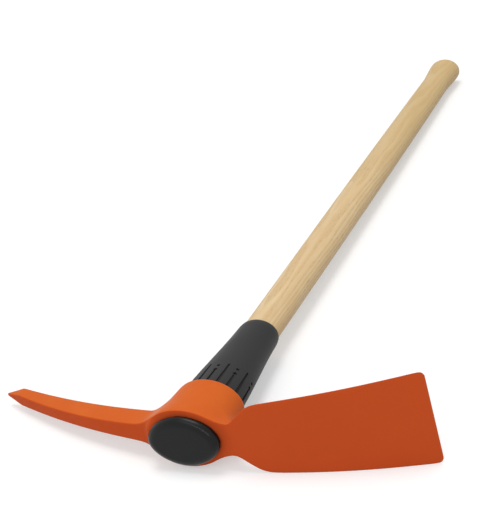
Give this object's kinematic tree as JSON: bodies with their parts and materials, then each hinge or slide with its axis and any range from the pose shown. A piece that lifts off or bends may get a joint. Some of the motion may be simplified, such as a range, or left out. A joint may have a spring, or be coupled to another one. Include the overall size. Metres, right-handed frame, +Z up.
{
  "type": "pick mattock",
  "caption": "Long handled pick mattock: forged head with a pick and an adze blade, oval ash handle, plastic eye sleeve and end cap.",
  "frame": {"origin": "middle of the end cap's flat face, on the handle's axis", "axes": "+X from the pick to the adze blade, +Y from the cap's face down the handle to the grip knob, +Z up, square to the head's plane of symmetry; the tool lies on its side"},
  "size_m": [0.4828, 0.9187, 0.097],
  "materials": {
    "orange_paint": "satin orange powder coat on forged steel",
    "ash_wood": "sanded ash with a thin clear lacquer",
    "black_plastic": "moulded, satin black",
    "beech_wood": "sawn, bare",
    "bare_steel": "cut plate, bare"
  },
  "bodies": {
    "root": {"head": "orange_paint", "handle": "ash_wood", "sleeve": "black_plastic", "end_cap": "black_plastic", "wood_wedge": "beech_wood", "steel_wedge_blade_side": "bare_steel", "steel_wedge_pick_side": "bare_steel"}
  },
  "joints": []
}
